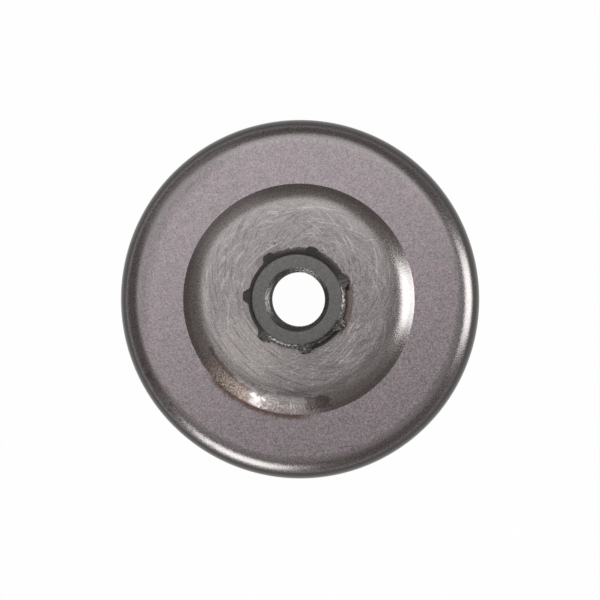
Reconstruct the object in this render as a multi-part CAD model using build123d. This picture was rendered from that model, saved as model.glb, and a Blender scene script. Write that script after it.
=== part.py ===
from build123d import *
import math
import os

# Clutch drum: a drawn steel cup with a raised centre, and a splined hub brazed through it.
# It rests on its open rim at Z = 0, with the closed face and the hub upwards and the axis on Z.
# Sizes are in millimetres and angles in degrees.

# Drawn cup
drum_outer_diameter = 76.0
cup_height = 20.0
sheet_thickness = 3.0
corner_outer_radius = 5.0
corner_inner_chamfer = 2.0
rim_edge_chamfer = 0.5

# Raised centre of the closed face
boss_base_diameter = 48.5
boss_height = 2.2
boss_shoulder_radius = 8.5
boss_slope_angle = 31.0

# Splines that carry the sprocket
spline_count = 7
spline_tip_diameter = 22.6
spline_depth = 1.2
spline_length = 6.0
spline_tip_width = 1.7
spline_flank_angle = 30.0
spline_tip_rounding = 0.4
spline_root_fillet = 0.5
spline_first_angle = 21.7
lead_chamfer_width = 1.98
lead_chamfer_angle = 45.0

# Spigot that passes through the cup
spigot_ledge = 0.9
spigot_reach = 3.6
spigot_end_chamfer = 0.4
braze_gap = 0.05

# Plain bore for needle rollers, countersunk at the hub's face
bore_diameter = 11.4
bore_end_chamfer = 0.4
countersink_diameter = 13.26
countersink_angle = 45.0

# Radii and heights that both pieces share
outer_radius = drum_outer_diameter / 2
friction_radius = outer_radius - sheet_thickness
boss_base_radius = boss_base_diameter / 2
tip_radius = spline_tip_diameter / 2
root_radius = tip_radius - spline_depth
spigot_radius = root_radius - spigot_ledge
boss_face_height = cup_height + boss_height
boss_underside_height = boss_face_height - sheet_thickness
hub_face_height = boss_face_height + spline_length
spigot_end_height = boss_underside_height - spigot_reach


def drum_cup():
    """Revolve one bent sheet: a wall, a rounded corner, a flat ring and a boss with a sloping side."""
    slope = math.radians(boss_slope_angle)
    shoulder_width = boss_shoulder_radius * math.sin(slope)
    shoulder_drop = boss_shoulder_radius * (1 - math.cos(slope))
    side_width = (boss_height - shoulder_drop) / math.tan(slope)
    boss_flat_radius = boss_base_radius - side_width - shoulder_width
    hole_radius = spigot_radius + braze_gap
    web_underside_height = cup_height - sheet_thickness
    outer_corner = (outer_radius, cup_height)
    inner_corner = (friction_radius, web_underside_height)

    # Under the boss the sheet is a plain cone, one sheet thickness away from the sloping side.
    cone_foot_radius = boss_base_radius - sheet_thickness * math.tan(slope / 2)
    cone_top_radius = cone_foot_radius - boss_height / math.tan(slope)

    flat = Line((hole_radius, boss_face_height), (boss_flat_radius, boss_face_height))
    shoulder = JernArc(flat @ 1, flat % 1, boss_shoulder_radius, -boss_slope_angle)
    rest_of_sheet = Polyline(
        shoulder @ 1,
        (boss_base_radius, cup_height),
        outer_corner,
        (outer_radius, 0),
        (friction_radius, 0),
        inner_corner,
        (cone_foot_radius, web_underside_height),
        (cone_top_radius, boss_underside_height),
        (hole_radius, boss_underside_height),
        flat @ 0,
    )

    section = make_face(Curve() + [flat, shoulder, rest_of_sheet])
    section = fillet(section.vertices().sort_by_distance(outer_corner)[0], corner_outer_radius)
    section = chamfer(section.vertices().sort_by_distance(inner_corner)[0], corner_inner_chamfer)
    rim_edges = section.vertices().group_by(Axis.Y)[0]
    section = chamfer(rim_edges, rim_edge_chamfer)
    return revolve(Plane.XZ * section, Axis.Z)


def spline_profile():
    """The splined cross-section: a root circle with straight-flanked, rounded splines."""
    pitch_angle = 360 / spline_count
    flank_slope = math.tan(math.radians(spline_flank_angle))
    foot_radius = root_radius - spline_root_fillet
    crest_radius = tip_radius + spline_tip_rounding

    def half_width(radius):
        return spline_tip_width / 2 + (tip_radius - radius) * flank_slope

    spline = make_face(
        Polyline(
            (foot_radius, -half_width(foot_radius)),
            (crest_radius, -half_width(crest_radius)),
            (crest_radius, half_width(crest_radius)),
            (foot_radius, half_width(foot_radius)),
            close=True,
        )
    )
    # The seam of the root circle lies under a spline, and that of the tip circle in a gap.
    root_circle = Rot(0, 0, spline_first_angle) * Circle(root_radius)
    tip_circle = Rot(0, 0, spline_first_angle + pitch_angle / 2) * Circle(tip_radius)
    splines = [place * spline for place in PolarLocations(0, spline_count, spline_first_angle)]
    profile = (root_circle + splines) & tip_circle

    corners_per_circle = 2 * spline_count
    tip_corners = profile.vertices().sort_by_distance((0, 0))[-corners_per_circle:]
    profile = fillet(tip_corners, spline_tip_rounding)
    root_corners = profile.vertices().sort_by_distance((0, 0))[:corners_per_circle]
    return fillet(root_corners, spline_root_fillet)


def spline_hub():
    """Turn the hub's blank with its bore, then cut the gaps between the splines."""
    face_radius = tip_radius - lead_chamfer_width
    bore_radius = bore_diameter / 2
    countersink_radius = countersink_diameter / 2
    lead_drop = lead_chamfer_width * math.tan(math.radians(lead_chamfer_angle))
    countersink_depth = (countersink_radius - bore_radius) / math.tan(math.radians(countersink_angle))

    section = make_face(
        Polyline(
            (countersink_radius, hub_face_height),
            (face_radius, hub_face_height),
            (tip_radius, hub_face_height - lead_drop),
            (tip_radius, boss_face_height),
            (spigot_radius, boss_face_height),
            (spigot_radius, spigot_end_height),
            (bore_radius, spigot_end_height),
            (bore_radius, hub_face_height - countersink_depth),
            close=True,
        )
    )
    spigot_end = (spigot_radius, spigot_end_height)
    section = chamfer(section.vertices().sort_by_distance(spigot_end)[0], spigot_end_chamfer)
    bore_end = (bore_radius, spigot_end_height)
    section = chamfer(section.vertices().sort_by_distance(bore_end)[0], bore_end_chamfer)
    blank = revolve(Plane.XZ * section, Axis.Z)

    gaps = Circle(spline_tip_diameter) - spline_profile()
    return blank - extrude(Pos(0, 0, boss_face_height) * gaps, 2 * spline_length)


os.makedirs("parts", exist_ok=True)
export_step(drum_cup(), "parts/drum_cup.step")
export_step(spline_hub(), "parts/spline_hub.step")
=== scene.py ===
import math
from collections import namedtuple

import bmesh
import bpy
from bpy.props import FloatProperty, FloatVectorProperty, IntProperty, PointerProperty
from mathutils import Matrix, Vector


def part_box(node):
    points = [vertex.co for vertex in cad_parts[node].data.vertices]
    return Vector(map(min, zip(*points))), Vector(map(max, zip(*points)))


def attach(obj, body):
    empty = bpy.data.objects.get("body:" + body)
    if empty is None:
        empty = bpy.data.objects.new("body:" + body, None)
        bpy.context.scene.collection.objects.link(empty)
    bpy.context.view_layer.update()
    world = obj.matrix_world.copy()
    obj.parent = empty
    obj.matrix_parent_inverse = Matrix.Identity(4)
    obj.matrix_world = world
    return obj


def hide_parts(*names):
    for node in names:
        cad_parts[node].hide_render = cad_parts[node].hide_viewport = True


bl_info = {
    "name": "Clutch Drum",
    "version": (1, 0, 0),
    "blender": (4, 5, 0),
    "location": "View3D > Sidebar > Clutch Drum",
    "description": "Dresses a drawn steel clutch drum and its splined hub on a plain studio stage",
    "category": "Object",
}

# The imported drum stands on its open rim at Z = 0, with its axis on Z and the hub upwards, in metres.
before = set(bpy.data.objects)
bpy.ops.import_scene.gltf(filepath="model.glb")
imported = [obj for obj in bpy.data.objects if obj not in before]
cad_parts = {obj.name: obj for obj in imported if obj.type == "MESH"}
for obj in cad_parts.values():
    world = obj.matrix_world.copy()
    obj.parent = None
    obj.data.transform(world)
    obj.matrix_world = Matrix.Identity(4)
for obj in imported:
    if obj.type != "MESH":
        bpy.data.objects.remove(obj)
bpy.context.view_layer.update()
CUP_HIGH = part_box("drum_cup")[1]
HUB_LOW, HUB_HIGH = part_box("spline_hub")

MM = 0.001
ORIGIN = (0.0, 0.0, 0.0)
DRUM_AXIS = (0.0, 0.0, 1.0)
SECTION_AXIS = (0.0, 1.0, 0.0)
PICTURE_UP = Vector((0.0, 1.0, 0.0))
WELD_DISTANCE = 0.001 * MM

# Edges sharper than the first angle are shaded as edges. Those of the hub that are sharper than the
# second one are rounded.
SHARP_ANGLE = math.radians(24.0)
ROUNDED_ANGLE = math.radians(38.0)

# Facets along each round stretch, and cuts for the dents
SHOULDER_STEPS = 16
CORNER_STEPS = 24
ROOT_STEPS = 8
TIP_STEPS = 4
SPLINE_CORNER_STEPS = 5
FACE_ROUND_STEPS = 4
EDGE_ROUND_STEPS = 2
DENT_CUTS = 3
FLOOR_STEPS = 64

# The floor lies just below the rim. It shows this share of plain white, and the rest takes light and shadow.
FLOOR_DROP = 0.1 * MM
FLOOR_GLOW = 0.98

# Camera: the sensor's width in mm, and the nearest distance that it sees.
SENSOR_WIDTH = 36.0
CLIP_START = 10.0 * MM

# The colour sockets of a Mix node come after its number and vector sockets.
MIX_FACTOR, MIX_A, MIX_B, MIX_COLOUR = 0, 6, 7, 2

# Soft boxes that face the drum: bearing and elevation in degrees, then distance, width and height in m.
SOFT_BOXES = {
    "overhead_box": (90.0, 90.0, 0.82, 1.1, 1.1),
    "key_box": (112.0, 68.5, 0.86, 1.0, 0.7),
    "right_box": (1.0, 24.0, 0.7, 0.36, 0.44),
    "lower_left_box": (247.0, 24.0, 0.7, 0.38, 0.33),
    "upper_left_box": (135.0, 30.0, 0.7, 0.5, 0.3),
}

# Bearings in degrees between which the sprocket rim has hammered the hub's lead chamfer.
HAMMERED = ((-42.0, 28.0), (-136.0, -62.0))

# Level of the dents' cloud texture that leaves the metal where it was. Lower levels are dents.
DENT_LEVEL = 0.7

# Sanding marks on the raised centre: the middle of their circles in mm, their spacing in mm, and how
# short they are. They are drawn coarser than the real ones so that they show.
LIGHT_SANDING = (((2.8, -4.0), 0.34, 2.6), ((-7.0, 4.0), 0.38, 3.2))
DARK_SANDING = ((6.5, 5.5), 0.36, 2.8)

# How far the edges of the braze and of the heat tint wander, in radians and in metres.
RAGGED_TURN = 0.22
RAGGED_REACH = 0.9 * MM

# What a material knows of a point: its place, also in plan, and its radius, bearing and height.
Spot = namedtuple("Spot", "place plan radius bearing height")


def linear(hex_colour):
    """Turn an sRGB hex colour into linear red, green and blue."""
    parts = [int(hex_colour[start:start + 2], 16) / 255.0 for start in (1, 3, 5)]
    return tuple(part / 12.92 if part <= 0.04045 else ((part + 0.055) / 1.055) ** 2.4 for part in parts)


def length(name, description, default):
    """A distance that a user may change."""
    return FloatProperty(
        name=name, description=description, default=default, min=0.0, precision=5,
        subtype="DISTANCE", unit="LENGTH",
    )


def angle(name, description, degrees):
    """An angle that a user may change."""
    return FloatProperty(
        name=name, description=description, default=math.radians(degrees), subtype="ANGLE", unit="ROTATION"
    )


def level(name, description, default):
    """A plain number that a user may change."""
    return FloatProperty(name=name, description=description, default=default, min=0.0, precision=3)


def colour(name, description, hex_colour):
    """A colour that a user may change."""
    return FloatVectorProperty(
        name=name, description=description, default=linear(hex_colour), min=0.0, max=1.0, subtype="COLOR"
    )


class DrumCupSizes(bpy.types.PropertyGroup):
    """Sizes and colours of the drawn cup."""

    outer_radius: length("Outer radius", "Outside of the wall", CUP_HIGH.x)
    boss_face_height: length("Boss face", "Height of the raised centre's flat", CUP_HIGH.z)
    ring_height: length("Ring height", "Height of the flat ring round the raised centre", 20.0 * MM)
    sheet_thickness: length("Sheet thickness", "Thickness of the drawn sheet", 3.0 * MM)
    corner_radius: length("Corner radius", "Rounding between the ring and the wall", 5.0 * MM)
    inner_chamfer: length("Inner chamfer", "Cone in the corner inside the cup", 2.0 * MM)
    rim_chamfer: length("Rim chamfer", "Chamfer on both edges of the open rim", 0.5 * MM)
    boss_base_radius: length("Boss base radius", "Where the shoulder meets the ring", 24.25 * MM)
    shoulder_radius: length("Shoulder radius", "Rounding of the raised centre's edge", 8.5 * MM)
    side_slope: angle("Side slope", "Slope of the raised centre's side", 31.0)
    hole_radius: length("Hole radius", "Hole that the hub's spigot fills", 9.25 * MM)
    spin_steps: IntProperty(name="Spin steps", description="Facets round the cup", default=288, min=24)
    ring_mauve: colour("Ring mauve", "Flat ring, warmer patches", "#a2989d")
    ring_grey: colour("Ring grey", "Flat ring, cooler patches", "#9c9698")
    bend_grey: colour("Bend grey", "Burnished bends: the rounded corner and the shoulder", "#9d9a99")
    # Painted sheen on the upper part of the shoulder.
    shoulder_sheen: colour("Bend light", "Upper part of the shoulder, brightened by the sanding", "#b8b4b3")
    boss_grey: colour("Boss grey", "Sanded flat of the raised centre", "#9b9697")
    # Fresh sanding marks and a scratch, and a painted sheen on the lower left of the raised centre.
    sanding_light_and_sheen: colour("Boss light", "Fresh sanding marks", "#c6c1be")
    # Dark sanding marks and worn marks, and painted shade on the corner's upper left and on the raised
    # centre's lower right.
    dark_marks_and_shade: colour("Boss dark", "Duller sanding marks and the less sanded side", "#6f6a6b")
    # Painted shade on the outside wall, which darkens what it reflects.
    wall_shade: colour("Wall dark", "Drawn wall below the rounded corner", "#4a4745")
    friction_bright: colour("Friction bright", "Turned friction wall inside the cup", "#a8a5a2")
    copper: colour("Copper", "Braze that ran out over the shoulder", "#73655e")
    copper_pale: colour("Copper pale", "Bright specks in the braze", "#a09084")
    copper_brown: colour("Copper brown", "Dark border and pores of the braze", "#54443e")
    # Brown heat tint beside the braze, and a brownish darker patch on the right of the hub.
    brown_tint: colour("Heat brown", "Heat tint beside the braze and round the hub", "#6f5f5a")
    # Painted shadow along the foot of the hub and beside two of its splines.
    hub_foot_shadow: colour("Seam dark", "Oxide in the seam round the hub", "#2a2725")
    # Bright scratches, and a painted glint in the middle of the braze.
    scratch_pale_and_glint: colour("Scratch pale", "Bright scratches", "#d6d2cd")


class SplineHubSizes(bpy.types.PropertyGroup):
    """Sizes and colours of the splined hub."""

    face_height: length("Face height", "Height of the hub's end face", HUB_HIGH.z)
    spigot_end_height: length("Spigot end", "Height of the spigot's end inside the cup", HUB_LOW.z)
    seat_height: length("Seat height", "Where the splines stand on the cup", CUP_HIGH.z)
    spline_count: IntProperty(name="Splines", description="Number of splines", default=7, min=3)
    tip_radius: length("Tip radius", "Radius over the splines", 11.3 * MM)
    root_radius: length("Root radius", "Radius between the splines", 10.1 * MM)
    tip_width: length("Tip width", "Width of a spline at its tip", 1.7 * MM)
    flank_angle: angle("Flank angle", "Lean of each flank from the spline's middle line", 30.0)
    first_angle: angle("First spline", "Bearing of the first spline's middle", 21.7)
    corner_offset: length("Corner offset", "How far the roundings reach along flank and circle", 0.23 * MM)
    face_radius: length("Face radius", "Where the lead chamfer meets the end face", 9.32 * MM)
    countersink_radius: length("Countersink radius", "Mouth of the bore", 6.63 * MM)
    bore_radius: length("Bore radius", "Plain bore for the needle rollers", 5.7 * MM)
    spigot_radius: length("Spigot radius", "Spigot that passes through the cup", 9.2 * MM)
    end_chamfer: length("End chamfer", "Chamfers at the spigot's end", 0.4 * MM)
    face_round: length("Face round", "Rounding between the end face and the lead chamfer", 0.45 * MM)
    dent_size: length("Dent size", "Width of the dents in the hammered splines", 0.7 * MM)
    dent_depth: length("Dent depth", "Depth of the dents in the hammered splines", 0.5 * MM)
    dent_reach: length("Dent reach", "How far below the end face the splines are dented", 2.5 * MM)
    edge_round: length("Edge round", "Rounding of the hub's other edges", 0.16 * MM)
    face_grey: colour("Face grey", "Matte sintered face", "#7b7a7a")
    flank_dark: colour("Flank dark", "Splines and spigot", "#565452")
    # The countersink's own bright turned metal, and a painted sheen on the splines' lower-right side.
    worn_bright_and_sheen: colour("Worn bright", "Rubbed edges and the countersink", "#9a9894")
    # Painted highlight on the rounded edge of the end face, on the right and the lower left.
    face_edge_glint: colour("Edge bright", "Bright rubbed edge of the end face", "#b9b6b1")
    # Painted shade at the foot of the splines and in the bore.
    hub_shade_dark: colour("Foot dark", "Oxide in the bore and at the foot of the splines", "#2a2827")


class StageSizes(bpy.types.PropertyGroup):
    """Camera, floor and lamps."""

    camera_distance: length("Camera distance", "From the aim point to the camera", 400.0 * MM)
    camera_tilt: angle("Camera tilt", "Lean of the view from straight down", 2.3)
    camera_bearing: angle("Camera bearing", "Side that the camera leans to", 8.0)
    aim: FloatVectorProperty(
        name="Aim", description="Point that the camera looks at", default=(0.1 * MM, -0.15 * MM, 15.0 * MM),
        precision=5, subtype="TRANSLATION", unit="LENGTH",
    )
    lens: FloatProperty(name="Lens", description="Focal length", default=113.2, min=1.0, unit="CAMERA")
    overhead_box: level("Overhead box", "Radiance of the box above the drum", 0.24)
    key_box: level("Key box", "Radiance of the box that leans from the top", 0.79)
    right_box: level("Right box", "Radiance of the low box on the right", 3.4)
    lower_left_box: level("Lower left box", "Radiance of the low box at the lower left", 3.3)
    upper_left_box: level("Upper left box", "Radiance of the faint box at the upper left", 0.16)
    floor_radius: length("Floor radius", "Size of the pale floor", 20.0)
    floor_white: colour("Floor", "Pale floor", "#ffffff")
    room_grey: colour("Room", "Plain dark room round the lamps", "#736b6a")


def run_to(bm, vert, radius, height):
    """Extrude a straight run of a section to a radius and height, and return its end."""
    end = bmesh.ops.extrude_vert_indiv(bm, verts=[vert])["verts"][0]
    end.co = (radius, 0.0, height)
    return end


def bend(bm, vert, centre, degrees, steps):
    """Spin the end of a section about a centre (radius, height), outwards and down for positive degrees."""
    made = bmesh.ops.spin(
        bm, geom=[vert], cent=(centre[0], 0.0, centre[1]), axis=SECTION_AXIS,
        angle=math.radians(degrees), steps=steps, use_duplicate=False,
    )
    return next(item for item in made["geom_last"] if isinstance(item, bmesh.types.BMVert))


def close_shell(bm):
    """Merge what meets and turn all faces outwards."""
    bmesh.ops.remove_doubles(bm, verts=bm.verts, dist=WELD_DISTANCE)
    bmesh.ops.recalc_face_normals(bm, faces=bm.faces)


def add_piece(context, bm, name, material):
    """Make an object of a finished bmesh, smooth apart from its real edges."""
    mesh = bpy.data.meshes.new(name)
    bm.to_mesh(mesh)
    bm.free()
    if not mesh.polygons:
        raise RuntimeError(name + " came out empty")
    mesh.shade_smooth()
    mesh.set_sharp_from_angle(angle=SHARP_ANGLE)
    mesh.materials.append(material)
    piece = bpy.data.objects.new(name, mesh)
    context.scene.collection.objects.link(piece)
    return piece


def cup_shell(cup):
    """Draw the sheet's section in one line, from the hub's hole over the outside and back, and spin it."""
    boss_height = cup.boss_face_height - cup.ring_height
    slope = cup.side_slope
    side_width = (boss_height - cup.shoulder_radius * (1.0 - math.cos(slope))) / math.tan(slope)
    flat_radius = cup.boss_base_radius - side_width - cup.shoulder_radius * math.sin(slope)
    corner_start = cup.outer_radius - cup.corner_radius
    corner_end = cup.ring_height - cup.corner_radius
    inner_radius = cup.outer_radius - cup.sheet_thickness
    web_underside = cup.ring_height - cup.sheet_thickness
    boss_underside = cup.boss_face_height - cup.sheet_thickness
    cone_foot = cup.boss_base_radius - cup.sheet_thickness * math.tan(slope / 2)
    cone_top = cone_foot - boss_height / math.tan(slope)
    edge_loop = 0.15 * MM

    bm = bmesh.new()
    start = bmesh.ops.create_vert(bm, co=(cup.hole_radius, 0.0, cup.boss_face_height))["vert"][0]
    end = run_to(bm, start, flat_radius - edge_loop, cup.boss_face_height)
    end = run_to(bm, end, flat_radius, cup.boss_face_height)
    shoulder_centre = (flat_radius, cup.boss_face_height - cup.shoulder_radius)
    end = bend(bm, end, shoulder_centre, math.degrees(slope), SHOULDER_STEPS)
    end = run_to(bm, end, cup.boss_base_radius, cup.ring_height)
    end = run_to(bm, end, corner_start - edge_loop, cup.ring_height)
    end = run_to(bm, end, corner_start, cup.ring_height)
    end = bend(bm, end, (corner_start, corner_end), 90.0, CORNER_STEPS)
    end = run_to(bm, end, cup.outer_radius, corner_end - edge_loop)
    for radius, height in (
        (cup.outer_radius, cup.rim_chamfer),
        (cup.outer_radius - cup.rim_chamfer, 0.0),
        (inner_radius + cup.rim_chamfer, 0.0),
        (inner_radius, cup.rim_chamfer),
        (inner_radius, web_underside - cup.inner_chamfer),
        (inner_radius - cup.inner_chamfer, web_underside),
        (cone_foot, web_underside),
        (cone_top, boss_underside),
        (cup.hole_radius, boss_underside),
        (cup.hole_radius, cup.boss_face_height),
    ):
        end = run_to(bm, end, radius, height)
    bmesh.ops.spin(
        bm, geom=bm.verts[:] + bm.edges[:], cent=ORIGIN, axis=DRUM_AXIS,
        angle=math.tau, steps=cup.spin_steps, use_merge=True,
    )
    close_shell(bm)
    return bm


def flank_bearing(hub, radius):
    """Angle from a spline's middle to its flank, where the flank crosses a circle of that radius."""
    reach = hub.tip_width / 2 + hub.tip_radius * math.tan(hub.flank_angle)
    return math.pi / 2 - hub.flank_angle - math.acos(reach * math.cos(hub.flank_angle) / radius)


def polar(radius, bearing, height):
    """A point at a radius, bearing and height about the drum's axis."""
    return Vector((radius * math.cos(bearing), radius * math.sin(bearing), height))


def sweep_round(bm, vert, turn, steps):
    """Spin the end of an outline about the drum's axis, and return its new end."""
    made = bmesh.ops.spin(
        bm, geom=[vert], cent=ORIGIN, axis=DRUM_AXIS, angle=turn, steps=steps, use_duplicate=False
    )
    return next(item for item in made["geom_last"] if isinstance(item, bmesh.types.BMVert))


def spline_outline(bm, hub):
    """Draw one pitch of the outline where the splines stand on the cup, and repeat it round the axis."""
    pitch = math.tau / hub.spline_count
    root_turn = flank_bearing(hub, hub.root_radius)
    tip_turn = flank_bearing(hub, hub.tip_radius)
    first = hub.first_angle
    gap_middle = polar(hub.root_radius, first - pitch / 2, hub.seat_height)

    end = bmesh.ops.create_vert(bm, co=gap_middle)["vert"][0]
    end = sweep_round(bm, end, pitch / 2 - root_turn, ROOT_STEPS)
    end = bmesh.ops.extrude_vert_indiv(bm, verts=[end])["verts"][0]
    end.co = polar(hub.tip_radius, first - tip_turn, hub.seat_height)
    end = sweep_round(bm, end, 2 * tip_turn, TIP_STEPS)
    end = bmesh.ops.extrude_vert_indiv(bm, verts=[end])["verts"][0]
    end.co = polar(hub.root_radius, first + root_turn, hub.seat_height)
    sweep_round(bm, end, pitch / 2 - root_turn, ROOT_STEPS)

    bmesh.ops.spin(
        bm, geom=bm.verts[:] + bm.edges[:], cent=ORIGIN, axis=DRUM_AXIS,
        angle=math.tau - pitch, steps=hub.spline_count - 1, use_duplicate=True,
    )
    bmesh.ops.remove_doubles(bm, verts=bm.verts, dist=WELD_DISTANCE)


def next_loop(bm, loop):
    """Extrude a closed loop of edges in place, and return the new loop."""
    made = bmesh.ops.extrude_edge_only(bm, edges=loop)["geom"]
    return [item for item in made if isinstance(item, bmesh.types.BMEdge) and item.is_boundary]


def loop_verts(loop):
    """The vertices of a loop of edges, each once."""
    return {vert for edge in loop for vert in edge.verts}


def spline_walls(bm, hub):
    """Raise the splines from their outline, round their corners, and return their loops below and above."""
    spline_outline(bm, hub)
    crest_loop = next_loop(bm, bm.edges[:])
    rise = (0.0, 0.0, hub.face_height - hub.seat_height)
    bmesh.ops.translate(bm, verts=list(loop_verts(crest_loop)), vec=rise)
    corners = [
        edge for edge in bm.edges
        if edge.is_manifold and edge.calc_face_angle(0.0) > SHARP_ANGLE
    ]
    bmesh.ops.bevel(
        bm, geom=corners, offset=hub.corner_offset, offset_type="OFFSET", segments=SPLINE_CORNER_STEPS,
        profile=0.5, affect="EDGES", material=-1, clamp_overlap=True,
    )
    open_edges = [edge for edge in bm.edges if edge.is_boundary]
    just_above_seat = hub.seat_height + WELD_DISTANCE
    foot_loop = [edge for edge in open_edges if edge.verts[0].co.z < just_above_seat]
    crest_loop = [edge for edge in open_edges if edge.verts[0].co.z > just_above_seat]
    return foot_loop, crest_loop


def round_face_edge(bm, hub):
    """Round the edge between the end face and the lead chamfer."""
    face_edge = [
        edge for edge in bm.edges
        if all(abs(vert.co.xy.length - hub.face_radius) < WELD_DISTANCE for vert in edge.verts)
        and all(hub.face_height - vert.co.z < WELD_DISTANCE for vert in edge.verts)
    ]
    bmesh.ops.bevel(
        bm, geom=face_edge, offset=hub.face_round, offset_type="OFFSET", segments=FACE_ROUND_STEPS,
        profile=0.5, affect="EDGES", material=-1, clamp_overlap=True,
    )


def is_hammered(hub, place):
    """Whether a place is on the lead chamfer or its lower edge, where the sprocket rim has hammered it."""
    bearing = math.degrees(math.atan2(place.y, place.x))
    reach = place.xy.length - hub.face_radius
    on_chamfer = reach > hub.face_round and place.z > hub.face_height - reach - hub.edge_round
    return on_chamfer and any(first < bearing < last for first, last in HAMMERED)


def divide_hammered(bm, hub):
    """Give the hammered chamfer enough faces for its dents, and a loop below it that the dents end at."""
    bmesh.ops.bisect_plane(
        bm, geom=bm.verts[:] + bm.edges[:] + bm.faces[:],
        plane_co=(0.0, 0.0, hub.face_height - hub.dent_reach), plane_no=DRUM_AXIS,
    )
    hammered = {
        edge for face in bm.faces if is_hammered(hub, face.calc_center_median()) for edge in face.edges
    }
    bmesh.ops.subdivide_edges(bm, edges=list(hammered), cuts=DENT_CUTS, use_grid_fill=True)


def hub_shell(hub):
    """Run loop after loop from the splines over the face, down the bore and up the spigot."""
    bore_top = hub.face_height - (hub.countersink_radius - hub.bore_radius)
    end_height = hub.spigot_end_height

    bm = bmesh.new()
    foot_loop, loop = spline_walls(bm, hub)
    # The lead chamfer is a cone of 45 degrees, so it cuts the tips lower than the roots.
    for vert in loop_verts(loop):
        vert.co.z = hub.face_height - (vert.co.xy.length - hub.face_radius)
    for radius, height in (
        (hub.face_radius, hub.face_height),
        (hub.countersink_radius, hub.face_height),
        (hub.bore_radius, bore_top),
        (hub.bore_radius, end_height + hub.end_chamfer),
        (hub.bore_radius + hub.end_chamfer, end_height),
        (hub.spigot_radius - hub.end_chamfer, end_height),
        (hub.spigot_radius, end_height + hub.end_chamfer),
        (hub.spigot_radius, hub.seat_height),
    ):
        loop = next_loop(bm, loop)
        for vert in loop_verts(loop):
            vert.co = polar(radius, math.atan2(vert.co.y, vert.co.x), height)
    bmesh.ops.bridge_loops(bm, edges=loop + foot_loop)
    close_shell(bm)
    round_face_edge(bm, hub)
    divide_hammered(bm, hub)
    return bm


def finish_edges(piece, hub):
    """Round the hub's edges, then dent the hammered part of the lead chamfer by a cloud texture."""
    rounding = piece.modifiers.new("edge_round", "BEVEL")
    rounding.width = hub.edge_round
    rounding.segments = EDGE_ROUND_STEPS
    rounding.limit_method = "ANGLE"
    rounding.angle_limit = ROUNDED_ANGLE
    rounding.use_clamp_overlap = True

    group = piece.vertex_groups.new(name="hammered")
    struck = [vert.index for vert in piece.data.vertices if is_hammered(hub, vert.co)]
    if not struck:
        raise RuntimeError("No part of the hub is hammered")
    group.add(struck, 1.0, "REPLACE")
    dents = bpy.data.textures.new("spline_dents", "CLOUDS")
    dents.noise_scale = hub.dent_size
    hammering = piece.modifiers.new("hammering", "DISPLACE")
    hammering.texture = dents
    hammering.texture_coords = "LOCAL"
    hammering.vertex_group = group.name
    hammering.strength = hub.dent_depth
    hammering.mid_level = DENT_LEVEL


def add_node(tree, kind, inputs=None, **settings):
    """Add one node with its settings, and link or fill each of its named or numbered inputs."""
    node = tree.nodes.new(kind)
    for key, value in settings.items():
        setattr(node, key, value)
    for key, value in (inputs or {}).items():
        if isinstance(value, bpy.types.NodeSocket):
            tree.links.new(value, node.inputs[key])
        else:
            node.inputs[key].default_value = value
    return node


def rgba(value):
    """A colour property as a colour socket takes it."""
    return (*value, 1.0)


def new_metal(name):
    """A material with one metallic Principled shader."""
    material = bpy.data.materials.new(name)
    material.use_nodes = True
    tree = material.node_tree
    tree.nodes.clear()
    shader = add_node(tree, "ShaderNodeBsdfPrincipled", {"Metallic": 1.0})
    add_node(tree, "ShaderNodeOutputMaterial", {"Surface": shader.outputs["BSDF"]})
    return material, tree, shader


def drum_spot(tree):
    """Object coordinates, and from them the place in plan, the radius, the bearing and the height."""
    place = add_node(tree, "ShaderNodeTexCoord").outputs["Object"]
    split = add_node(tree, "ShaderNodeSeparateXYZ", {"Vector": place})
    plan = add_node(
        tree, "ShaderNodeVectorMath", {0: place, 1: (1.0, 1.0, 0.0)}, operation="MULTIPLY"
    ).outputs[0]
    radius = add_node(tree, "ShaderNodeVectorMath", {0: plan}, operation="LENGTH").outputs["Value"]
    bearing = add_node(
        tree, "ShaderNodeMath", {0: split.outputs["Y"], 1: split.outputs["X"]}, operation="ARCTAN2"
    ).outputs[0]
    return Spot(place, plan, radius, bearing, split.outputs["Z"])


def reach_towards(tree, spot, degrees):
    """How far a spot lies from the axis towards a bearing."""
    heading = polar(1.0, math.radians(degrees), 0.0)
    return add_node(
        tree, "ShaderNodeVectorMath", {0: spot.plan, 1: heading}, operation="DOT_PRODUCT"
    ).outputs["Value"]


def mottle(tree, spot, size, detail, low, high):
    """Uneven patches of a size in mm, with the noise between low and high stretched from 0 to 1."""
    noise = add_node(
        tree, "ShaderNodeTexNoise",
        {"Vector": spot.place, "Scale": 1.0 / (size * MM), "Detail": detail, "Roughness": 0.6},
    ).outputs["Fac"]
    return add_node(
        tree, "ShaderNodeMapRange", {"Value": noise, "From Min": low, "From Max": high}
    ).outputs["Result"]


def over_mm(value, start, end):
    """A ramp along a length, between two places in mm."""
    return value, start * MM, end * MM


def over_degrees(value, start, end):
    """A ramp along a bearing, between two angles in degrees."""
    return value, math.radians(start), math.radians(end)


def soft_zone(tree, strength, *ramps):
    """A mask of that strength where each value has run along its ramp, from none at the start to all."""
    mask = strength
    for value, start, end in ramps:
        ramp = add_node(
            tree, "ShaderNodeMapRange", {"Value": value, "From Min": start, "From Max": end},
            interpolation_type="SMOOTHSTEP",
        ).outputs["Result"]
        mask = add_node(tree, "ShaderNodeMath", {0: mask, 1: ramp}, operation="MULTIPLY").outputs[0]
    return mask


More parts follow.
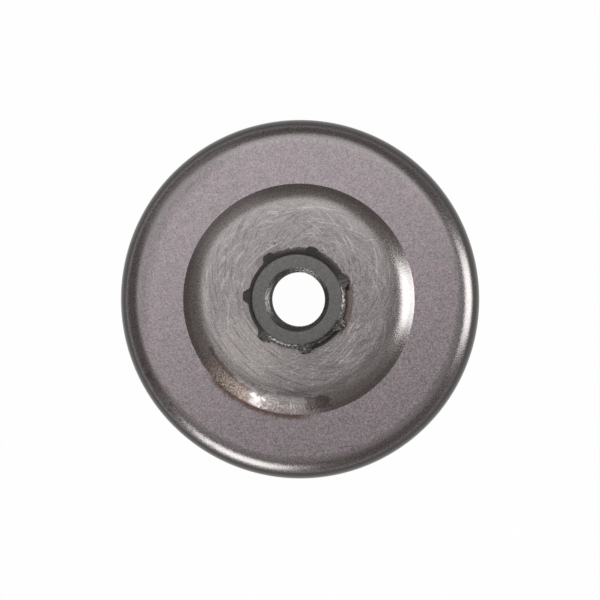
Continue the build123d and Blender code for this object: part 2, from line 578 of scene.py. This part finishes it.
def patch(tree, strength, spot, bearings, radii, *ramps):
    """A soft-edged patch between two bearings in degrees and two radii in mm."""
    first, last = bearings
    inner, outer = radii
    soft_turn = 4.0
    soft_reach = 0.3
    return soft_zone(
        tree, strength,
        over_degrees(spot.bearing, first - soft_turn, first),
        over_degrees(spot.bearing, last + soft_turn, last),
        over_mm(spot.radius, inner - soft_reach, inner),
        over_mm(spot.radius, outer + soft_reach, outer),
        *ramps,
    )


def uneven(tree, value, noise, amount):
    """A value shaken by a noise, so that a mask's edge is ragged."""
    offset = add_node(tree, "ShaderNodeMath", {0: noise, 1: 0.5}, operation="SUBTRACT").outputs[0]
    return add_node(
        tree, "ShaderNodeMath", {0: offset, 1: amount, 2: value}, operation="MULTIPLY_ADD"
    ).outputs[0]


def sanding_arcs(tree, spot, centre, spacing, shortness):
    """Marks along circles round a centre in mm, one spacing in mm apart."""
    middle = Vector((*centre, 0.0)) * MM
    arm = add_node(
        tree, "ShaderNodeVectorMath", {0: spot.plan, 1: middle}, operation="SUBTRACT"
    ).outputs[0]
    reach = add_node(tree, "ShaderNodeVectorMath", {0: arm}, operation="LENGTH").outputs["Value"]
    across = add_node(
        tree, "ShaderNodeMath", {0: reach, 1: 1.0 / (spacing * MM)}, operation="MULTIPLY"
    ).outputs[0]
    heading = add_node(tree, "ShaderNodeVectorMath", {0: arm}, operation="NORMALIZE").outputs[0]
    along = add_node(
        tree, "ShaderNodeVectorMath", {0: heading, "Scale": shortness}, operation="SCALE"
    ).outputs[0]
    rings = add_node(tree, "ShaderNodeCombineXYZ", {"Z": across}).outputs[0]
    marks = add_node(tree, "ShaderNodeVectorMath", {0: along, 1: rings}, operation="ADD").outputs[0]
    return add_node(
        tree, "ShaderNodeTexNoise", {"Vector": marks, "Scale": 1.0, "Detail": 2.0, "Roughness": 0.6}
    ).outputs["Fac"]


def scratch(tree, spot, start, end, width):
    """A mask along a straight scratch between two places in mm."""
    start_place = Vector((*start, 0.0)) * MM
    run = Vector((*end, 0.0)) * MM - start_place
    arm = add_node(
        tree, "ShaderNodeVectorMath", {0: spot.plan, 1: start_place}, operation="SUBTRACT"
    ).outputs[0]
    share = add_node(
        tree, "ShaderNodeVectorMath", {0: arm, 1: run / run.length_squared}, operation="DOT_PRODUCT"
    ).outputs["Value"]
    held = add_node(tree, "ShaderNodeClamp", {"Value": share}).outputs[0]
    nearest = add_node(tree, "ShaderNodeVectorMath", {0: run, "Scale": held}, operation="SCALE").outputs[0]
    gap = add_node(
        tree, "ShaderNodeVectorMath", {0: arm, 1: nearest}, operation="DISTANCE"
    ).outputs["Value"]
    return soft_zone(tree, 0.8, over_mm(gap, width, 0.4 * width))


def lay_coats(tree, tone, coats):
    """Lay one coat after another over a tone, each as far as its mask says."""
    for mask, coat in coats:
        tone = add_node(
            tree, "ShaderNodeMix", {MIX_FACTOR: mask, MIX_A: tone, MIX_B: rgba(coat)}, data_type="RGBA"
        ).outputs[MIX_COLOUR]
    return tone


def sheet_coats(tree, cup, spot, ragged):
    """Coats all over the sheet: clouds, burnished bends, painted shade on the corner's upper-left side, worn
    marks on the corner, painted shade on the outside of the wall, and the turned friction wall inside.
    """
    foot = cup.boss_base_radius
    corner = cup.outer_radius - cup.corner_radius
    friction = cup.outer_radius - cup.sheet_thickness
    friction_top = cup.ring_height - cup.sheet_thickness - cup.inner_chamfer
    clouds = mottle(tree, spot, size=2.4, detail=4.0, low=0.38, high=0.62)
    corner_shade_reach = reach_towards(tree, spot, 157.0)

    # Turning lines of the friction wall: fine up the wall and long round it.
    lines_per_metre = (40.0, 40.0, 1.0 / (0.3 * MM))
    turning = add_node(
        tree, "ShaderNodeVectorMath", {0: spot.place, 1: lines_per_metre}, operation="MULTIPLY"
    ).outputs[0]
    turned = add_node(
        tree, "ShaderNodeTexNoise", {"Vector": turning, "Scale": 1.0, "Detail": 2.0}
    ).outputs["Fac"]
    return (
        (soft_zone(tree, 1.0, (clouds, 0.0, 1.0)), cup.ring_grey),
        (soft_zone(tree, 1.0, (spot.radius, corner, corner + 1.4 * MM)), cup.bend_grey),
        (soft_zone(tree, 1.0, (spot.radius, foot + 0.15 * MM, foot - 0.25 * MM)), cup.bend_grey),
        # Painted shade on the corner's upper-left side.
        (soft_zone(tree, 0.45, over_mm(corner_shade_reach, 22.0, 30.0), over_mm(spot.radius, 30.5, 33.4),
                   over_mm(spot.radius, 35.2, 34.2)), cup.dark_marks_and_shade),
        # Painted shade on the outside wall below the rounded corner.
        (soft_zone(tree, 1.0, over_mm(spot.height, 19.6, 18.2), over_mm(spot.radius, 36.0, 36.6)),
         cup.wall_shade),
        (soft_zone(tree, 0.9, (spot.radius, friction - 0.6 * MM, friction - 0.2 * MM),
                   (spot.radius, friction + 0.6 * MM, friction + 0.2 * MM),
                   (spot.height, friction_top + 0.3 * MM, friction_top - 0.1 * MM), (turned, 0.2, 0.6)),
         cup.friction_bright),
        (patch(tree, 0.6, spot, (-156.0, -122.0), (34.6, 36.6), (ragged, 0.5, 0.36),
               over_mm(spot.height, 16.0, 17.0)), cup.dark_marks_and_shade),
    )


def boss_coats(tree, cup, spot, on_boss, on_top, light_marks):
    """Coats of the raised centre: a painted sheen on the shoulder, and a sanded flat with sanding marks,
    painted shade on its lower-right side and painted sheen on its lower-left side.
    """
    patches = mottle(tree, spot, size=5.0, detail=2.0, low=0.3, high=0.7)
    dark_marks = sanding_arcs(tree, spot, *DARK_SANDING)
    shaded_side = reach_towards(tree, spot, 305.0)
    return (
        # Painted sheen on the upper part of the shoulder.
        (soft_zone(tree, 0.75, over_mm(spot.radius, 23.4, 22.6)), cup.shoulder_sheen),
        (soft_zone(tree, 1.0, on_boss, on_top), cup.boss_grey),
        # Painted shade on the lower-right side of the raised centre.
        (soft_zone(tree, 0.2, on_boss, over_mm(shaded_side, -2.0, 18.0)), cup.dark_marks_and_shade),
        # Painted sheen on the lower-left side of the raised centre.
        (soft_zone(tree, 0.45, on_boss, over_degrees(spot.bearing, -178.0, -142.0),
                   over_degrees(spot.bearing, -92.0, -128.0)), cup.sanding_light_and_sheen),
        (soft_zone(tree, 0.85, on_boss, (light_marks, 0.53, 0.72), (patches, -0.3, 0.8)), cup.sanding_light_and_sheen),
        (soft_zone(tree, 0.65, on_boss, (dark_marks, 0.5, 0.68), (patches, 1.3, 0.2)), cup.dark_marks_and_shade),
    )


def braze_coats(tree, cup, run, specks):
    """Coats of the braze that ran out over the shoulder, thick on the left and thin on the right, with a
    painted glint in the middle.
    """
    return (
        # Heat tint beside the run
        (soft_zone(tree, 1.0, over_degrees(run.bearing, -144.0, -134.0),
                   over_degrees(run.bearing, -80.0, -92.0), over_mm(run.radius, 23.8, 24.2),
                   over_mm(run.radius, 25.7, 24.5)), cup.brown_tint),
        # Thick end, with bright beads and dark pores
        (patch(tree, 0.65, run, (-147.0, -119.0), (21.2, 24.2)), cup.copper),
        (patch(tree, 0.9, run, (-142.0, -120.0), (21.3, 24.1), (specks, 0.45, 0.7)), cup.copper_pale),
        (patch(tree, 0.5, run, (-147.0, -122.0), (21.3, 24.1), (specks, 0.4, 0.2)), cup.copper_brown),
        # Middle, with a painted glint towards its inner edge
        (patch(tree, 0.3, run, (-115.0, -107.0), (20.2, 22.4)), cup.scratch_pale_and_glint),
        (patch(tree, 0.35, run, (-110.0, -97.0), (21.2, 24.0)), cup.copper),
        (patch(tree, 0.6, run, (-110.0, -97.0), (21.6, 24.0), (specks, 0.6, 0.25)), cup.copper_brown),
        # Thin end
        (patch(tree, 0.25, run, (-97.0, -84.0), (21.6, 24.0)), cup.copper),
        (patch(tree, 0.3, run, (-97.0, -84.0), (21.6, 24.0), (specks, 0.5, 0.2)), cup.copper_brown),
        (patch(tree, 0.6, run, (-84.0, -75.0), (20.6, 23.0)), cup.copper_brown),
        # Dark border of the thick end
        (patch(tree, 0.6, run, (-149.0, -131.0), (20.7, 21.2)), cup.copper_brown),
    )


def round_hub_tint_and_shade(tree, cup, spot, run):
    """Coats round the hub: a brownish darker patch on its right, a darker patch at its upper left, painted
    shadow along the hub's foot, and the painted cast shadows of two splines.
    """
    return (
        # A brownish darker patch on the right of the hub, and a darker patch at its upper left.
        (patch(tree, 0.7, run, (-38.0, 26.0), (9.0, 11.4)), cup.brown_tint),
        (patch(tree, 0.5, run, (112.0, 138.0), (9.0, 11.8)), cup.dark_marks_and_shade),
        # Painted shadow along the foot of the hub, wider on the top and the lower right, and the painted cast
        # shadows of two splines.
        (soft_zone(tree, 0.6, over_mm(spot.radius, 10.6, 10.15)), cup.hub_foot_shadow),
        (patch(tree, 0.7, run, (28.0, 128.0), (9.0, 10.7)), cup.hub_foot_shadow),
        (patch(tree, 0.85, spot, (-74.0, -30.0), (9.0, 10.7)), cup.hub_foot_shadow),
        (patch(tree, 0.9, spot, (12.5, 14.5), (9.0, 10.8)), cup.hub_foot_shadow),
        (patch(tree, 0.9, spot, (-127.5, -125.5), (9.0, 10.8)), cup.hub_foot_shadow),
    )


def scratch_coats(tree, cup, spot):
    """A small pit and a few scratches."""
    return (
        (scratch(tree, spot, (-4.95, 11.55), (-4.85, 11.65), 0.26), cup.copper_brown),
        (scratch(tree, spot, (8.6, -30.9), (12.6, -30.6), 0.14), cup.dark_marks_and_shade),
        (scratch(tree, spot, (-8.9, -18.0), (-4.7, -19.4), 0.16), cup.scratch_pale_and_glint),
        (scratch(tree, spot, (-7.6, -18.0), (-4.4, -19.0), 0.13), cup.scratch_pale_and_glint),
        (scratch(tree, spot, (13.9, 12.3), (16.9, 12.6), 0.1), cup.sanding_light_and_sheen),
    )


def cold_drawn_steel(cup):
    """Cold drawn mild steel, sanded on its raised centre and brazed in a furnace: satin mauve grey with a
    fine grain that breaks up highlights, sanding marks, and copper with heat tint. Shade and sheen are
    painted in: a darker wall, darker patches on the corner and the raised centre, sheen on the shoulder and
    the raised centre, a glint in the braze, and shadow round the hub."""
    material, tree, shader = new_metal("cold_drawn_steel")
    spot = drum_spot(tree)

    # The grain and the braze's specks are drawn coarser than the real ones so that they show.
    grain = mottle(tree, spot, size=0.32, detail=2.0, low=0.3, high=0.7)
    specks = mottle(tree, spot, size=0.4, detail=1.0, low=0.32, high=0.68)
    ragged = mottle(tree, spot, size=1.1, detail=2.0, low=0.0, high=1.0)
    first_arcs, second_arcs = (sanding_arcs(tree, spot, *marks) for marks in LIGHT_SANDING)
    light_marks = add_node(
        tree, "ShaderNodeMath", {0: first_arcs, 1: second_arcs}, operation="MAXIMUM"
    ).outputs[0]
    run = spot._replace(
        bearing=uneven(tree, spot.bearing, ragged, RAGGED_TURN),
        radius=uneven(tree, spot.radius, ragged, RAGGED_REACH),
    )
    on_top = (spot.height, cup.ring_height - 0.7 * MM, cup.ring_height - 0.3 * MM)
    on_boss = over_mm(spot.radius, 21.4, 19.6)

    # What happened to the closed face doesn't show on the underside.
    sheet = lay_coats(tree, rgba(cup.ring_mauve), sheet_coats(tree, cup, spot, ragged))
    dressed = lay_coats(tree, sheet, boss_coats(tree, cup, spot, on_boss, on_top, light_marks))
    dressed = lay_coats(tree, dressed, braze_coats(tree, cup, run, specks))
    dressed = lay_coats(tree, dressed, round_hub_tint_and_shade(tree, cup, spot, run))
    dressed = lay_coats(tree, dressed, scratch_coats(tree, cup, spot))
    tone = add_node(
        tree, "ShaderNodeMix", {MIX_FACTOR: soft_zone(tree, 1.0, on_top), MIX_A: sheet, MIX_B: dressed},
        data_type="RGBA",
    ).outputs[MIX_COLOUR]

    # The sanding and the burnishing took off some of the grain.
    foot = cup.boss_base_radius
    corner = cup.outer_radius - cup.corner_radius
    rough_ring = soft_zone(
        tree, 1.0, (spot.radius, foot - 0.25 * MM, foot + 0.15 * MM), (spot.radius, corner + 1.4 * MM, corner)
    )
    grain_depth = add_node(
        tree, "ShaderNodeMapRange", {"Value": rough_ring, "To Min": 0.5, "To Max": 0.66}
    ).outputs["Result"]
    grain_level = uneven(tree, 1.0, grain, grain_depth)
    final = add_node(
        tree, "ShaderNodeVectorMath", {0: tone, "Scale": grain_level}, operation="SCALE"
    ).outputs[0]
    tree.links.new(final, shader.inputs["Base Color"])

    # The braze froze with a rougher skin than the sheet has, in beads.
    thick_skin = patch(tree, 1.0, run, (-147.0, -117.0), (20.4, 24.2), on_top)
    thin_skin = patch(tree, 1.0, run, (-107.0, -82.0), (20.4, 24.2), on_top)
    skin = add_node(tree, "ShaderNodeMath", {0: thick_skin, 1: thin_skin}, operation="ADD").outputs[0]
    rough = add_node(
        tree, "ShaderNodeMapRange", {"Value": grain, "To Min": 0.24, "To Max": 0.31}
    ).outputs["Result"]
    rough = add_node(
        tree, "ShaderNodeMath", {0: skin, 1: 0.13, 2: rough}, operation="MULTIPLY_ADD"
    ).outputs[0]
    tree.links.new(rough, shader.inputs["Roughness"])

    sanded = soft_zone(tree, 0.5, on_boss, on_top, (light_marks, 0.5, 0.8))
    relief = add_node(tree, "ShaderNodeMath", {0: grain, 1: sanded}, operation="ADD").outputs[0]
    beads = add_node(tree, "ShaderNodeMath", {0: skin, 1: specks}, operation="MULTIPLY").outputs[0]
    relief = add_node(
        tree, "ShaderNodeMath", {0: beads, 1: 5.0, 2: relief}, operation="MULTIPLY_ADD"
    ).outputs[0]
    bump = add_node(tree, "ShaderNodeBump", {"Strength": 1.0, "Distance": 0.005 * MM, "Height": relief})
    tree.links.new(bump.outputs["Normal"], shader.inputs["Normal"])
    return material


def sintered_steel(hub):
    """Pressed and sintered steel: a matte dark grey face with a fine even grain, darker splines with a
    painted sheen on their lower-right side, painted highlights on the face's edge, painted shade at the
    splines' foot and in the bore, and a turned countersink that glints."""
    material, tree, shader = new_metal("sintered_steel")
    spot = drum_spot(tree)
    radius = spot.radius
    height = spot.height

    grain = mottle(tree, spot, size=0.35, detail=2.0, low=0.3, high=0.7)
    sheen_mottle = mottle(tree, spot, size=0.5, detail=3.0, low=0.3, high=0.7)
    sheen_side = reach_towards(tree, spot, 305.0)

    face = hub.face_height
    mouth = hub.countersink_radius
    bore = hub.bore_radius
    bore_top = face - (mouth - bore)
    on_face = soft_zone(
        tree, 1.0, (height, face - 0.1 * MM, face - 0.02 * MM), (radius, mouth - 0.1 * MM, mouth)
    )
    in_mouth = soft_zone(
        tree, 1.0, (radius, mouth + 0.1 * MM, mouth - 0.05 * MM), (height, bore_top - 0.05 * MM, bore_top)
    )
    in_bore = soft_zone(
        tree, 1.0, (radius, bore + 0.2 * MM, bore + 0.1 * MM), (height, bore_top, bore_top - 0.1 * MM)
    )
    tone = lay_coats(tree, rgba(hub.flank_dark), (
        # Painted shade low on the splines and the spigot.
        (soft_zone(tree, 0.8, (height, face - 4.0 * MM, face - 5.6 * MM)), hub.hub_shade_dark),
        # Painted sheen on the upper part of the splines on their lower-right side.
        (soft_zone(tree, 0.75, (sheen_mottle, 0.5, 0.8), over_mm(sheen_side, 1.0, 6.0),
                   (height, face - 2.6 * MM, face - 1.8 * MM)), hub.worn_bright_and_sheen),
        (in_mouth, hub.worn_bright_and_sheen),
        # Painted highlights on the rounded edge of the end face, on the right and the lower left.
        (patch(tree, 0.55, spot, (-26.0, 14.0), (9.2, 9.5), (sheen_mottle, 0.3, 0.8)), hub.face_edge_glint),
        (patch(tree, 0.4, spot, (-126.0, -92.0), (9.2, 9.6), (sheen_mottle, 0.3, 0.8)), hub.face_edge_glint),
        # Painted shade in the bore.
        (in_bore, hub.hub_shade_dark),
        (on_face, hub.face_grey),
    ))
    grain_level = add_node(
        tree, "ShaderNodeMapRange", {"Value": grain, "To Min": 0.78, "To Max": 1.22}
    ).outputs["Result"]
    final = add_node(
        tree, "ShaderNodeVectorMath", {0: tone, "Scale": grain_level}, operation="SCALE"
    ).outputs[0]
    tree.links.new(final, shader.inputs["Base Color"])

    # The painted shade in the bore is no metal, so it stays dark at a flat angle.
    bare = add_node(
        tree, "ShaderNodeMapRange", {"Value": in_bore, "To Min": 1.0, "To Max": 0.0}
    ).outputs["Result"]
    tree.links.new(bare, shader.inputs["Metallic"])
    rough = add_node(
        tree, "ShaderNodeMapRange", {"Value": on_face, "To Min": 0.32, "To Max": 0.5}
    ).outputs["Result"]
    rough = add_node(
        tree, "ShaderNodeMath", {0: in_bore, 1: 0.5, 2: rough}, operation="MULTIPLY_ADD"
    ).outputs[0]
    tree.links.new(rough, shader.inputs["Roughness"])

    # The grain is fine on the pressed face, and coarse where the countersink is worn.
    coarse = add_node(
        tree, "ShaderNodeMapRange", {"Value": on_face, "To Min": 1.0, "To Max": 0.15}
    ).outputs["Result"]
    coarse = add_node(
        tree, "ShaderNodeMath", {0: in_mouth, 1: 1.6, 2: coarse}, operation="MULTIPLY_ADD"
    ).outputs[0]
    relief = add_node(tree, "ShaderNodeMath", {0: grain, 1: coarse}, operation="MULTIPLY").outputs[0]
    bump = add_node(tree, "ShaderNodeBump", {"Strength": 1.0, "Distance": 0.022 * MM, "Height": relief})
    tree.links.new(bump.outputs["Normal"], shader.inputs["Normal"])
    return material


def white_paper(stage):
    """Matte white paper: it reads as plain white, and keeps a faint shadow under the drum."""
    material = bpy.data.materials.new("white_paper")
    material.use_nodes = True
    tree = material.node_tree
    tree.nodes.clear()
    rays = add_node(tree, "ShaderNodeLightPath")
    seen = add_node(
        tree, "ShaderNodeMath",
        {0: rays.outputs["Is Camera Ray"], 1: rays.outputs["Is Glossy Ray"]}, operation="ADD", use_clamp=True,
    ).outputs[0]
    seen = add_node(
        tree, "ShaderNodeMath",
        {0: seen, 1: rays.outputs["Is Transmission Ray"]}, operation="ADD", use_clamp=True,
    ).outputs[0]
    glow = add_node(tree, "ShaderNodeMath", {0: seen, 1: FLOOR_GLOW}, operation="MULTIPLY").outputs[0]
    matte = add_node(tree, "ShaderNodeBsdfDiffuse", {"Color": rgba(stage.floor_white)})
    white = add_node(tree, "ShaderNodeEmission", {"Color": rgba(stage.floor_white), "Strength": 1.0})
    mixed = add_node(tree, "ShaderNodeMixShader", {0: glow, 1: matte.outputs[0], 2: white.outputs[0]})
    add_node(tree, "ShaderNodeOutputMaterial", {"Surface": mixed.outputs[0]})
    return material


def facing(place, target, up):
    """A matrix that stands at place and looks at target, with up towards the picture's top."""
    forward = (target - place).normalized()
    right = forward.cross(up).normalized()
    top = right.cross(forward)
    turn = Matrix((right, top, -forward)).transposed().to_4x4()
    return Matrix.Translation(place) @ turn


def add_soft_box(context, name, aim, radiance):
    """An area lamp of an even radiance that faces the drum, and that the camera doesn't see."""
    bearing, elevation, distance, width, height = SOFT_BOXES[name]
    turn = math.radians(bearing)
    rise = math.radians(elevation)
    lamp = bpy.data.lights.new(name, "AREA")
    lamp.shape = "RECTANGLE"
    lamp.size = width
    lamp.size_y = height
    lamp.energy = radiance * math.pi * width * height
    box = bpy.data.objects.new(name, lamp)
    place = aim + distance * polar(math.cos(rise), turn, math.sin(rise))
    box.matrix_world = facing(place, aim, polar(1.0, turn, 0.0))
    box.visible_camera = False
    context.scene.collection.objects.link(box)


class CLUTCHDRUM_OT_drum_cup(bpy.types.Operator):
    """Make the drawn cup with its raised centre"""

    bl_idname = "clutch_drum.drum_cup"
    bl_label = "Drum Cup"

    def execute(self, context):
        cup = context.scene.drum_cup_sizes
        piece = add_piece(context, cup_shell(cup), "drum_cup_sheet", cold_drawn_steel(cup))
        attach(piece, "root")
        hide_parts("drum_cup")
        return {"FINISHED"}


class CLUTCHDRUM_OT_spline_hub(bpy.types.Operator):
    """Make the splined hub with its countersunk bore"""

    bl_idname = "clutch_drum.spline_hub"
    bl_label = "Spline Hub"

    def execute(self, context):
        hub = context.scene.spline_hub_sizes
        piece = add_piece(context, hub_shell(hub), "spline_hub_body", sintered_steel(hub))
        finish_edges(piece, hub)
        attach(piece, "root")
        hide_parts("spline_hub")
        return {"FINISHED"}


class CLUTCHDRUM_OT_stage(bpy.types.Operator):
    """Make the floor, the lamps, the room and the camera"""

    bl_idname = "clutch_drum.stage"
    bl_label = "Stage"

    def execute(self, context):
        scene = context.scene
        stage = scene.drum_stage
        aim = Vector(stage.aim)

        bm = bmesh.new()
        bmesh.ops.create_circle(bm, cap_ends=True, radius=stage.floor_radius, segments=FLOOR_STEPS)
        bmesh.ops.translate(bm, verts=bm.verts, vec=(0.0, 0.0, -FLOOR_DROP))
        floor = add_piece(context, bm, "floor", white_paper(stage))

        for name in SOFT_BOXES:
            add_soft_box(context, name, aim, getattr(stage, name))

        world = bpy.data.worlds.new("studio_room")
        world.use_nodes = True
        backdrop = world.node_tree.nodes["Background"]
        backdrop.inputs["Color"].default_value = rgba(stage.room_grey)
        backdrop.inputs["Strength"].default_value = 1.0
        scene.world = world

        lens = bpy.data.cameras.new("camera")
        lens.lens = stage.lens
        lens.sensor_width = SENSOR_WIDTH
        lens.clip_start = CLIP_START
        camera = bpy.data.objects.new("camera", lens)
        arm = polar(math.sin(stage.camera_tilt), stage.camera_bearing, math.cos(stage.camera_tilt))
        camera.matrix_world = facing(aim + stage.camera_distance * arm, aim, PICTURE_UP)
        scene.collection.objects.link(camera)
        scene.camera = camera
        scene.view_settings.view_transform = "Standard"
        return {"FINISHED"}


class CLUTCHDRUM_PT_panel(bpy.types.Panel):
    """Lists the drum's pieces and the stage"""

    bl_idname = "CLUTCHDRUM_PT_panel"
    bl_label = "Clutch Drum"
    bl_space_type = "VIEW_3D"
    bl_region_type = "UI"
    bl_category = "Clutch Drum"

    def draw(self, context):
        layout = self.layout
        scene = context.scene
        for operator in OPERATORS:
            layout.operator(operator.bl_idname)
        for group in (scene.drum_cup_sizes, scene.spline_hub_sizes, scene.drum_stage):
            box = layout.box()
            for name in group.__annotations__:
                box.prop(group, name)


OPERATORS = (CLUTCHDRUM_OT_drum_cup, CLUTCHDRUM_OT_spline_hub, CLUTCHDRUM_OT_stage)
CLASSES = (DrumCupSizes, SplineHubSizes, StageSizes, *OPERATORS, CLUTCHDRUM_PT_panel)


def register():
    """Add the classes, and the sizes that each scene then has."""
    for cls in CLASSES:
        bpy.utils.register_class(cls)
    bpy.types.Scene.drum_cup_sizes = PointerProperty(type=DrumCupSizes)
    bpy.types.Scene.spline_hub_sizes = PointerProperty(type=SplineHubSizes)
    bpy.types.Scene.drum_stage = PointerProperty(type=StageSizes)


def unregister():
    """Take away what register added."""
    del bpy.types.Scene.drum_stage
    del bpy.types.Scene.spline_hub_sizes
    del bpy.types.Scene.drum_cup_sizes
    for cls in reversed(CLASSES):
        bpy.utils.unregister_class(cls)


def main():
    """Build the drum and its stage."""
    register()
    bpy.ops.clutch_drum.drum_cup()
    bpy.ops.clutch_drum.spline_hub()
    bpy.ops.clutch_drum.stage()


if __name__ == "__main__":
    main()
